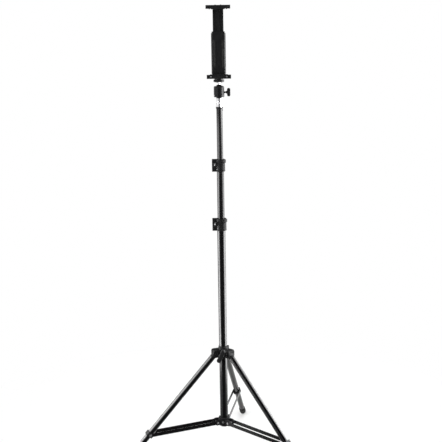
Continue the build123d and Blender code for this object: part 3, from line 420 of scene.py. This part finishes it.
def makeFloor(values):
    # Pale paper floor that runs out to pure white; the object's shadow stays on it
    bpy.ops.mesh.primitive_plane_add(size=values["size"], location=columnAxis)
    floor = bpy.context.object
    floor.name = "paperFloor"
    paper = Finish("paperFloor")
    fibre = paper.noise(values["fibre"], 3)
    away = paper.node("VectorMath", {"operation": "LENGTH"}, {0: paper.place()}, out="Value")
    fade = (away - values["nearWhite"]) / (values["farWhite"] - values["nearWhite"])
    fade = paper.ramp(fade, [(0, 0), (1, 1)])
    glossy = paper.node("LightPath", out="Is Glossy Ray")
    seen = paper.node("LightPath", out="Is Camera Ray").most(glossy)
    tone = [shade - values["mottle"] for shade in values["colour"]]
    paper.set({
        "Base Color": paper.blend(fibre, tone, values["colour"]),
        "Roughness": values["rough"],
        "Normal": paper.bump(fibre, values["fibreDeep"]),
    })
    white = paper.node("Emission", sockets={"Color": (1, 1, 1, 1), "Strength": 1.0})
    dark = paper.node("Emission", sockets={"Color": (1, 1, 1, 1), "Strength": airValues["dark"]})
    surface = Wire(paper, paper.shader.outputs[0])
    mixed = paper.node("MixShader", sockets={0: fade * seen, 1: surface, 2: white})
    distance = (away - wideValues["from"]) / (wideValues["to"] - wideValues["from"])
    wide = gapOf(paper, paper.place(), wideValues) * paper.ramp(distance, [(0, 1), (1, 0)])
    gap = gapOf(paper, paper.place(), slotValues).most(wide) * glossy
    mixed = paper.node("MixShader", sockets={0: gap, 1: mixed, 2: dark})
    paper.join(mixed, paper.tree.nodes["Material Output"].inputs["Surface"])
    floor.data.materials.append(paper.material)


setCamera(cameraValues)
setLamps(lampValues)
setLamps(panelValues, shine=True)
setAir(airValues)
makeFloor(floorValues)
materials = {slot: make(name, look) for slot, (make, name, look) in makers.items()}
print("camera, lamps, floor and", len(materials), "finishes made")


# Modelling helpers

def startOn(piece):
    # Nothing else is selected, so that the operators act on this piece alone
    bpy.ops.object.select_all(action="DESELECT")
    piece.select_set(True)
    bpy.context.view_layer.objects.active = piece


def pick(piece, kind, wanted):
    # Selects faces, edges or vertices in code and goes back to edit mode
    bpy.ops.object.mode_set(mode="EDIT")
    bpy.ops.mesh.select_mode(type=kind)
    bpy.ops.mesh.select_all(action="DESELECT")
    bpy.ops.object.mode_set(mode="OBJECT")
    mesh = piece.data
    parts = {"FACE": mesh.polygons, "EDGE": mesh.edges, "VERT": mesh.vertices}[kind]
    for part in parts:
        part.select = bool(wanted(part))
    bpy.ops.object.mode_set(mode="EDIT")


def merge(piece, flatten=False):
    startOn(piece)
    bpy.ops.object.mode_set(mode="EDIT")
    bpy.ops.mesh.select_all(action="SELECT")
    bpy.ops.mesh.remove_doubles(threshold=0.002 * mm)
    if flatten:
        bpy.ops.mesh.dissolve_limited(angle_limit=math.radians(0.5))
    else:
        bpy.ops.mesh.normals_make_consistent(inside=False)
    bpy.ops.object.mode_set(mode="OBJECT")


def modify(piece, kind, **settings):
    startOn(piece)
    modifier = piece.modifiers.new(kind.lower(), kind)
    for name, value in settings.items():
        setattr(modifier, name, value)
    bpy.ops.object.modifier_apply(modifier=modifier.name)


def smooth(piece, angle=38):
    startOn(piece)
    bpy.ops.object.shade_smooth_by_angle(angle=math.radians(angle))
    modify(piece, "WEIGHTED_NORMAL", keep_sharp=True, weight=80)


def soften(piece, width, segments=2, angle=32):
    # Rounds the edges that are sharper than the angle
    modify(piece, "BEVEL", width=width, segments=segments, limit_method="ANGLE", angle_limit=math.radians(angle))


def away(piece):
    bpy.data.objects.remove(piece)


def copyOf(piece, name, matrix=Matrix()):
    # A copy with its own mesh, its place in its mesh
    copy = bpy.data.objects.new(name, piece.data.copy())
    bpy.context.scene.collection.objects.link(copy)
    copy.data.transform(matrix)
    return copy


def solidOf(node):
    # The node's own solid, merged and with its flat faces whole, to be worked on
    piece = copyOf(frame["nodes"][node], node + "_finished")
    merge(piece, flatten=True)
    return piece


def combine(piece, other, operation):
    modify(piece, "BOOLEAN", object=other, operation=operation, solver="EXACT")
    away(other)


def joined(pieces, name):
    startOn(pieces[0])
    for piece in pieces:
        piece.select_set(True)
    bpy.ops.object.join()
    pieces[0].name = name
    return pieces[0]


def dressAs(piece, node):
    # Gives a finished piece the finish of the node's slot and the body of the node that it stands for
    smooth(piece)
    piece.data.materials.clear()
    piece.data.materials.append(materials[slotOf[node]])
    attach(piece, bodyOf[node])
    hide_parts(node)


def axisFrame(spot, out, across=None):
    # Matrix that takes local Z to out and local X to across
    out = Vector(out).normalized()
    across = (Vector(across) if across else out.orthogonal()).normalized()
    turn = Matrix((across, out.cross(across), out)).transposed().to_4x4()
    return Matrix.Translation(spot) @ turn


def drawn(name, points):
    # One vertex, extruded from point to point
    bpy.ops.mesh.primitive_plane_add(size=mm)
    piece = bpy.context.object
    piece.name = name
    bpy.ops.object.mode_set(mode="EDIT")
    bpy.ops.mesh.select_mode(type="VERT")
    bpy.ops.mesh.select_all(action="SELECT")
    bpy.ops.mesh.merge(type="CENTER")
    bpy.ops.transform.translate(value=points[0])
    for start, end in zip(points, points[1:]):
        bpy.ops.mesh.extrude_region_move(TRANSFORM_OT_translate={"value": end - start})
    return piece


def latheOf(name, outline, steps=48):
    # Spins an outline of (radius, height) about Z
    piece = drawn(name, [Vector((radius, 0, height)) for radius, height in outline])
    bpy.ops.mesh.select_all(action="SELECT")
    bpy.ops.mesh.spin(steps=steps, angle=2 * math.pi, center=(0, 0, 0), axis=(0, 0, 1))
    bpy.ops.object.mode_set(mode="OBJECT")
    merge(piece)
    return piece


def barOf(name, outline, length):
    # Fills an outline of (depth, height) and pushes it along X, half each way
    piece = drawn(name, [Vector((-length / 2, depth, height)) for depth, height in outline])
    bpy.ops.mesh.select_all(action="SELECT")
    bpy.ops.mesh.edge_face_add()
    bpy.ops.mesh.extrude_region_move(TRANSFORM_OT_translate={"value": (length, 0, 0)})
    bpy.ops.object.mode_set(mode="OBJECT")
    merge(piece)
    return piece


def cutterOf(kind, size, steps=32):
    # Plain solids that are only cut with, and then thrown away
    if kind == "box":
        bpy.ops.mesh.primitive_cube_add(size=1)
        bpy.context.object.data.transform(Matrix.Diagonal((*size, 1)))
    elif kind == "ball":
        bpy.ops.mesh.primitive_uv_sphere_add(segments=steps, ring_count=steps // 2, radius=size)
    else:
        bpy.ops.mesh.primitive_cylinder_add(vertices=steps, radius=size[0], depth=size[1])
    return bpy.context.object


def middleOf(node):
    low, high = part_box(node)
    return (Vector(low) + Vector(high)) / 2


# Every node takes its finish; those whose shape is worked on further are replaced below
for node, piece in frame["nodes"].items():
    for place in piece.material_slots:
        place.material = materials[slotOf[node]]

# Castings, mouldings and turned pieces that keep their form and get round edges: radius of each in millimetres
edgeRadii = {
    "hub": 0.5, "leg_collar": 1.1, "head_housing": 0.45, "head_platform": 0.3, "tube_cap": 0.25, "spigot": 0.2,
    "column_end_cap": 0.3, "upper_jaw": 0.5, "jaw_slider": 0.3,
    **{f"{lock}_lock_pin": 0.2 for lock in ("lower", "upper")},
    **{f"leg_{number}_bracket": 0.6 for number in legNumbers},
    **{f"leg_{number}_top": 0.5 for number in legNumbers},
    **{f"strut_{number}_bars": 0.3 for number in legNumbers},
}
for node, radius in edgeRadii.items():
    piece = solidOf(node)
    soften(piece, radius * mm)
    dressAs(piece, node)
print("edges rounded on", len(edgeRadii), "pieces")


# Recesses in the heads of screws and rivets, as shares of the head's radius
recessValues = {
    "cross": {"long": 1.1, "wide": 0.26, "deep": 0.45},
    "socket": {"across": 0.52, "deep": 0.6},
    "dimple": {"round": 0.8, "deep": 0.28},
}
# Radius of each kind of head, in millimetres, and the heads' places on the clamp and the locks
headRadii = {"hub": 3.1, "pin": 3.4, "rivet": 4.2, "cover": 1.4, "jaw": 2.1, "lock": 2.2, "spigot": 2.8}
screwValues = {
    "edge": 0.15 * mm, "reach": 60 * mm, "lockRise": 6 * mm, "lockTurn": 228,
    "coverAside": 15.5 * mm, "coverRise": 13 * mm, "coverDrop": 6 * mm, "lowerJawAside": 20.5 * mm,
    "lowerJawRise": 5.5 * mm, "upperJawAside": 25.3 * mm, "upperJawRise": 1.65 * mm, "topAside": 6.9 * mm,
    "topBack": 2.8 * mm,
}


def cutRecess(piece, kind, radius, spot, out):
    # Finds the head's face along the screw's axis and cuts the recess there
    values = recessValues[kind]
    found, face = piece.ray_cast(spot + out * screwValues["reach"], -out)[:2]
    if not found:
        raise RuntimeError("no head here: " + piece.name)
    deep = 2 * values["deep"] * radius
    if kind == "cross":
        bar = (values["long"] * radius, values["wide"] * radius, deep)
        cuts = [("box", bar, 32, Matrix.Rotation(math.radians(turn), 4, "Z")) for turn in (0, 90)]
    elif kind == "socket":
        cuts = [("rod", (values["across"] * radius, deep), 6, Matrix())]
    else:
        ball = values["round"] * radius
        cuts = [("ball", ball, 20, Matrix.Translation((0, 0, ball - deep / 2)))]
    for shape, size, steps, turn in cuts:
        cutter = cutterOf(shape, size, steps)
        cutter.data.transform(axisFrame(face, out) @ turn)
        combine(piece, cutter, "DIFFERENCE")


def makeScrews(values):
    # For each node: recess, kind of head, where each head is and which way it looks
    right, ahead, up = Vector((1, 0, 0)), Vector((0, -1, 0)), Vector((0, 0, 1))
    outward = (pivotOf("strut_1_hinge") - columnAxis) * Vector((1, 1, 0))
    heads = {
        "hub_fasteners": [("socket", "hub", columnAxis + up * middleOf("hub").z, -outward.normalized())],
        "collar_rivets": [],
    }
    for number in legNumbers:
        pin, rivet, strut = f"strut_{number}_hinge", f"leg_{number}_hinge", f"strut_{number}_rivets"
        across = Vector(joints[pin]["axis"])
        heads["hub_fasteners"] += [("dimple", "pin", pivotOf(pin), out) for out in (across, -across)]
        heads[strut] = [("dimple", "pin", middleOf(strut), out) for out in (across, -across)]
        heads["collar_rivets"] += [("dimple", "rivet", pivotOf(rivet), out) for out in (across, -across)]

    def crosses(head, aside, heights, back, out):
        # One cross head each side of the middle, at each height
        return [("cross", head, columnAxis + side * values[aside] * right + height * up - back * ahead, out)
                for side in (-1, 1) for height in heights]

    low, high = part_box("clamp_cover")
    seat = mounts["upper_jaw_seat"]["pos_m"][2]
    coverHeights = (low.z + values["coverRise"], high.z - values["coverDrop"])
    heads["clamp_screws"] = crosses("cover", "coverAside", coverHeights, 0, -ahead)
    heads["clamp_screws"] += crosses("jaw", "lowerJawAside", [low.z + values["lowerJawRise"]], 0, ahead)
    heads["upper_jaw_screws"] = crosses("jaw", "upperJawAside", [seat + values["upperJawRise"]], 0, ahead)
    heads["upper_jaw_screws"] += crosses("jaw", "topAside", [seat], values["topBack"], up)
    out = Matrix.Rotation(math.radians(values["lockTurn"]), 3, "Z") @ right
    for lock in ("lower", "upper"):
        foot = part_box(f"{lock}_lock_body")[0].z + values["lockRise"]
        heads[f"{lock}_lock_fasteners"] = [("cross", "lock", columnAxis + foot * up, out)]
    heads["spigot_screw"] = [("socket", "spigot", middleOf("spigot_screw"), right)]
    for node, screws in heads.items():
        piece = solidOf(node)
        soften(piece, values["edge"], 1, 50)
        for kind, head, spot, out in screws:
            cutRecess(piece, kind, headRadii[head] * mm, spot, out)
        dressAs(piece, node)
    print("recesses cut in", sum(len(screws) for screws in heads.values()), "heads")


makeScrews(screwValues)


# Rubber feet
footValues = {
    "radius": 9.5 * mm, "flat": 0.6 * mm, "length": 34 * mm, "legEnd": 22 * mm, "bore": 8.05 * mm, "lip": 0.5 * mm,
    "grooves": 3, "grooveStart": 2.0 * mm, "groovePitch": 3.0 * mm, "grooveWidth": 1.3 * mm, "grooveDepth": 0.7 * mm,
    "domeSteps": 10,
}


def legFrame(number):
    # Origin on the leg's rivet, Z down the leg, X across it
    pivot = pivotOf(f"leg_{number}_hinge")
    rest = Vector(mounts[f"foot_{number}_rest"]["pos_m"])
    heart = rest + Vector((0, 0, footValues["radius"] - footValues["flat"]))
    down = heart - pivot
    across = Vector(joints[f"leg_{number}_hinge"]["axis"])
    return axisFrame(pivot, down, across), down.length + footValues["radius"]


def makeFeet(values):
    radius, tip, bore = values["radius"], values["length"], values["bore"]
    outline = [(0, values["legEnd"]), (bore, values["legEnd"]), (bore, 0), (radius - values["lip"], 0)]
    for count in range(values["grooves"]):
        start = values["grooveStart"] + count * values["groovePitch"]
        end = start + values["grooveWidth"]
        deep = radius - values["grooveDepth"]
        outline += [(radius, start), (deep, start), (deep, end), (radius, end)]
    outline += [(radius, tip - radius)]
    for step in range(1, values["domeSteps"] + 1):
        turn = math.pi / 2 * step / values["domeSteps"]
        outline.append((radius * math.cos(turn), tip - radius + radius * math.sin(turn)))
    model = latheOf("footModel", outline, 56)
    for number in legNumbers:
        place, length = legFrame(number)
        foot = copyOf(model, f"leg_{number}_rubber_foot", place @ Matrix.Translation((0, 0, length - tip)))
        startOn(foot)
        bpy.ops.object.mode_set(mode="EDIT")
        bpy.ops.mesh.select_all(action="SELECT")
        bpy.ops.mesh.bisect(plane_co=(0, 0, 0), plane_no=(0, 0, 1), use_fill=True, clear_inner=True)
        bpy.ops.object.mode_set(mode="OBJECT")
        dressAs(foot, f"leg_{number}_foot")
    away(model)


makeFeet(footValues)
print("feet made")


# Wing knobs: a round boss with two thick paddles, moulded in one. Each boss is (radius, height) in millimetres.
paddleValues = {"cuts": 3, "middle": 0.1, "end": 0.45, "crown": 0.99, "dip": 0.08, "rounds": 3, "rubs": 7}
headKnobValues = {
    "node": "head_knob", "joint": "head_knob_turn", "name": "head_wing_knob", "turn": 90,
    "span": 21.6 * mm, "depth": 10.8 * mm, "wing": 5.8 * mm, "neck": 1.8 * mm,
    "waist": 0.72, "corner": 0.84, "tip": 0.6,
    "boss": [(3.4, 0), (3.5, 1.2), (4.4, 2.6), (4.6, 9.4), (4.0, 10.4), (2.6, 10.7), (0, 10.8)],
    "bore": 2.55 * mm, "grain": 0.26 * mm,
}
collarKnobValues = {
    "node": "collar_knob", "joint": "collar_knob_turn", "name": "collar_wing_knob", "turn": 65,
    "span": 39.4 * mm, "depth": 15.6 * mm, "wing": 12.6 * mm, "neck": 4.6 * mm,
    "waist": 0.66, "corner": 0.8, "tip": 1.0,
    "boss": [(5.2, 0), (5.6, 2.0), (6.8, 4.8), (7.0, 13.2), (6.2, 14.8), (4.2, 15.5), (0, 15.6)],
    "bore": 3.05 * mm, "grain": 0.4 * mm,
}


def makeWingKnob(values, paddle):
    span, wing, depth, neck = [values[size] for size in ("span", "wing", "depth", "neck")]
    # Paddles: one block, cut into squares, drawn in at the middle and rounded over
    bpy.ops.mesh.primitive_cube_add(size=1, location=(0, 0, 0))
    knob = bpy.context.object
    knob.name = values["name"]
    knob.data.transform(Matrix.Diagonal((span, wing, depth - neck, 1)))
    knob.data.transform(Matrix.Translation((0, 0, (depth + neck) / 2)))
    bpy.ops.object.mode_set(mode="EDIT")
    bpy.ops.mesh.select_all(action="SELECT")
    bpy.ops.mesh.subdivide(number_cuts=paddle["cuts"])
    pick(knob, "VERT", lambda v: abs(v.co.x) < span * paddle["middle"])
    bpy.ops.transform.resize(value=(1, values["waist"], 1))
    # Ends are drawn in at their corners, so that they come out round
    pick(knob, "VERT", lambda v: abs(v.co.x) > span * paddle["end"] and abs(v.co.y) > wing * paddle["end"])
    bpy.ops.transform.resize(value=(values["corner"], 1, 1), center_override=(0, 0, 0))
    pick(knob, "VERT", lambda v: abs(v.co.x) > span * paddle["end"])
    bpy.ops.transform.resize(value=(1, values["corner"], values["tip"]), center_override=(0, 0, (depth + neck) / 2))
    # The crown dips between the paddles
    pick(knob, "VERT", lambda v: abs(v.co.x) < span * paddle["middle"] and v.co.z > depth * paddle["crown"])
    bpy.ops.transform.translate(value=(0, 0, -paddle["dip"] * depth))
    bpy.ops.object.mode_set(mode="OBJECT")
    modify(knob, "SUBSURF", levels=paddle["rounds"], render_levels=paddle["rounds"])
    # Rounding has shrunk the block, so it is stretched back to its size
    low, high = (Vector([reach(v.co[axis] for v in knob.data.vertices) for axis in range(3)]) for reach in (min, max))
    size = high - low
    stretch = Matrix.Diagonal((span / size.x, wing / size.y, (depth - neck) / size.z, 1))
    knob.data.transform(Matrix.Translation((0, 0, neck)) @ stretch @ Matrix.Translation((0, 0, -low.z)))
    boss = latheOf("boss", [(0, 0)] + [(radius * mm, height * mm) for radius, height in values["boss"]], 40)
    combine(knob, boss, "UNION")
    modify(knob, "REMESH", mode="VOXEL", voxel_size=values["grain"])
    modify(knob, "SMOOTH", factor=0.5, iterations=paddle["rubs"])
    bore = cutterOf("rod", (values["bore"], depth))
    combine(knob, bore, "DIFFERENCE")
    joint = joints[values["joint"]]
    out = Vector(joint["axis"])
    spot = pivotOf(values["joint"])
    spot += out * ((middleOf(values["node"]) - spot).dot(out) - depth / 2)
    across = Vector((-out.y, out.x, 0))
    knob.data.transform(axisFrame(spot, out, across) @ Matrix.Rotation(math.radians(values["turn"]), 4, "Z"))
    dressAs(knob, values["node"])


for knobValues in (headKnobValues, collarKnobValues):
    makeWingKnob(knobValues, paddleValues)
print("wing knobs made")


# Flip locks
lockValues = {
    "lower": {"body": 14.2 * mm, "band": 17.2 * mm}, "upper": {"body": 12.7 * mm, "band": 15.7 * mm},
    "edge": 0.5 * mm, "beadHeights": (0.6 * mm, 1.1 * mm, 1.9 * mm, 2.4 * mm), "beadReach": 0.7 * mm,
    "beadSunk": 0.8 * mm,
    "ribStart": 236, "ribEnd": 328, "ribSteps": 14, "ribWide": 1.0 * mm, "ribProud": 0.5 * mm,
    "ribs": (2.4 * mm, 4.8 * mm), "ribEdge": 0.2 * mm,
    "leverHeight": 17 * mm, "tipHeight": 8 * mm, "bossX": 8.6 * mm,
    "fingerTurn": 338, "fingerRadius": 0.8 * mm, "fingerFoot": 1.2 * mm, "fingerDrop": 0.9 * mm,
    "fingerSunk": 0.5 * mm, "fingerCone": 0.4 * mm, "fingerEnd": 0.7,
}


def aroundColumn(radius, degrees, height):
    turn = math.radians(degrees)
    return columnAxis + Vector((radius * math.cos(turn), radius * math.sin(turn), height))


def makeLock(name, values):
    radius, band = values[name]["body"], values[name]["band"]
    low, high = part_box(f"{name}_lock_body")
    # Body: softened, with a bead round its foot
    body = solidOf(f"{name}_lock_body")
    soften(body, values["edge"])
    first, second, third, fourth = values["beadHeights"]
    inner, proud = radius - values["beadSunk"], radius + values["beadReach"]
    bead = latheOf("bead", [(inner, first), (radius, first), (proud, second), (proud, third), (radius, fourth),
                            (inner, fourth), (inner, first)], 72)
    bead.data.transform(Matrix.Translation(columnAxis + Vector((0, 0, low.z))))
    body = joined([body, bead], f"{name}_lock_body_finished")
    dressAs(body, f"{name}_lock_body")

    # Lever: softened, with ribs that follow its lower edge and a rolled finger end
    lever = solidOf(f"{name}_lock_lever")
    soften(lever, values["edge"])
    leverEdge = high.z - values["leverHeight"]
    rise = (values["leverHeight"] - values["tipHeight"]) / (band + values["bossX"])
    extras = [lever]
    for lift in values["ribs"]:
        points = []
        for step in range(values["ribSteps"] + 1):
            degrees = values["ribStart"] + (values["ribEnd"] - values["ribStart"]) * step / values["ribSteps"]
            across = band * math.cos(math.radians(degrees)) + values["bossX"]
            points.append(aroundColumn(band, degrees, leverEdge + lift + rise * across))
        rib = drawn("rib", points)
        bpy.ops.mesh.select_all(action="SELECT")
        bpy.ops.mesh.extrude_region_move(TRANSFORM_OT_translate={"value": (0, 0, values["ribWide"])})
        bpy.ops.object.mode_set(mode="OBJECT")
        modify(rib, "SOLIDIFY", thickness=2 * values["ribProud"], offset=0)
        soften(rib, values["ribEdge"], 2, 60)
        merge(rib)
        extras.append(rib)
    foot, head = high.z - values["tipHeight"] + values["fingerFoot"], high.z - values["fingerDrop"]
    radius, end, cone = values["fingerRadius"], values["fingerRadius"] * values["fingerEnd"], values["fingerCone"]
    finger = latheOf("finger", [(0, foot), (end, foot), (radius, foot + cone), (radius, head - cone), (end, head),
                                (0, head)], 20)
    finger.data.transform(Matrix.Translation(aroundColumn(band - values["fingerSunk"], values["fingerTurn"], 0)))
    extras.append(finger)
    lever = joined(extras, f"{name}_lock_lever_finished")
    dressAs(lever, f"{name}_lock_lever")


for lock in ("lower", "upper"):
    makeLock(lock, lockValues)
print("flip locks made")


# Knob screw of the ball head: a threaded rod
threadValues = {"radius": 2.5 * mm, "root": 2.05 * mm, "pitch": 0.8 * mm, "chamfer": 0.5 * mm}


def makeHeadScrew(values):
    low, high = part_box("head_knob_screw")
    length = high.x - low.x
    outline = [(0, 0), (values["root"], 0)]
    for count in range(int(length / values["pitch"]) - 1):
        start = values["chamfer"] + count * values["pitch"]
        outline += [(values["root"], start), (values["radius"], start + values["pitch"] / 2)]
    outline += [(values["root"], length - values["chamfer"]), (values["root"], length), (0, length)]
    screw = latheOf("head_knob_screw_threaded", outline, 32)
    middle = middleOf("head_knob_screw")
    screw.data.transform(axisFrame(Vector((low.x, middle.y, middle.z)), (1, 0, 0)))
    dressAs(screw, "head_knob_screw")


makeHeadScrew(threadValues)
print("head screw threaded")


# Tablet clamp
clampValues = {
    "edge": 0.5 * mm, "panelRim": 2.4 * mm, "panelDeep": 0.5 * mm, "coverEdge": 0.3 * mm,
    "padEdge": 0.15 * mm, "stripEdge": 0.12 * mm, "stripSpare": 2 * mm,
}
# Ribs of the pads: their pitch, and as shares of it the flat top and the slope; depth of groove as a share of the pad's
ribValues = {"pitch": 2.4 * mm, "top": 0.55, "slope": 0.12, "deep": 0.42}


def ribbed(start, end, base, crown, values):
    # Outline of a pad with flat-topped ribs: from start to end along it, from base up to crown
    count = max(2, round((end - start) / values["pitch"]))
    pitch = (end - start) / count
    floor = crown - (crown - base) * values["deep"]
    top, slope = values["top"], values["slope"]
    shares = [(top, crown), (top + slope, floor), (1 - slope, floor), (1, crown)]
    outline = [(start, base), (start, crown)]
    for step in range(count):
        outline += [(start + (step + share) * pitch, height) for share, height in shares]
    return outline[:-1] + [(end, crown), (end, base), (start, base)]


def makePads(values, ribs):
    for node, seatUp in (("lower_jaw_pad", True), ("upper_jaw_pad", False)):
        low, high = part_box(node)
        base, crown = (low.z, high.z) if seatUp else (high.z, low.z)
        outline = ribbed(low.y, high.y, base, crown, ribs)
        pad = barOf(node + "_ribbed", outline, high.x - low.x)
        pad.data.transform(Matrix.Translation((columnAxis.x, 0, 0)))
        soften(pad, values["padEdge"], 2, 25)
        dressAs(pad, node)
    low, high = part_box("spine_pads")
    outline = [(depth, height) for height, depth in ribbed(low.z, high.z, high.y, low.y, ribs)]
    strips = barOf("spine_pads_ribbed", outline, high.x - low.x + values["stripSpare"])
    strips.data.transform(Matrix.Translation((columnAxis.x, 0, 0)))
    combine(strips, solidOf("spine_pads"), "INTERSECT")
    soften(strips, values["stripEdge"], 1, 40)
    dressAs(strips, "spine_pads")


def makeClamp(values):
    body = solidOf("clamp_body")
    soften(body, values["edge"])
    dressAs(body, "clamp_body")
    # Cover: its back is sunk inside a rim that runs round its edge and its openings
    cover = solidOf("clamp_cover")
    pick(cover, "FACE", lambda face: face.normal.y > 0.99)
    bpy.ops.mesh.inset(thickness=values["panelRim"], depth=-values["panelDeep"], use_boundary=True)
    bpy.ops.object.mode_set(mode="OBJECT")
    soften(cover, values["coverEdge"])
    dressAs(cover, "clamp_cover")


jawKnobValues = {
    "edge": 0.7 * mm, "dishRadius": 6.4 * mm, "dishDeep": 1.2 * mm, "capRadius": 4.0 * mm, "capRise": 1.0 * mm,
    "capTurns": (0.3, 0.6, 0.9, 1.2),
}


def makeJawKnob(values):
    # Fluted knob with a dished face and a domed cap in its middle
    knob = solidOf("jaw_knob")
    low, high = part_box("jaw_knob")
    middle = middleOf("jaw_knob")
    place = axisFrame(Vector((middle.x, high.y, middle.z)), (0, 1, 0))
    dish = cutterOf("rod", (values["dishRadius"], 2 * values["dishDeep"]), 48)
    dish.data.transform(place)
    combine(knob, dish, "DIFFERENCE")
    soften(knob, values["edge"], 3)
    radius, rise = values["capRadius"], values["capRise"]
    foot = -values["dishDeep"] - rise
    dome = [(radius * math.cos(turn), rise * math.sin(turn) - rise) for turn in values["capTurns"]]
    cap = latheOf("cap", [(0, foot), (radius, foot), (radius, -rise), *dome, (0, 0)], 40)
    cap.data.transform(place)
    knob = joined([knob, cap], "jaw_knob_fluted")
    dressAs(knob, "jaw_knob")


makePads(clampValues, ribValues)
makeClamp(clampValues)
makeJawKnob(jawKnobValues)
print("clamp made")
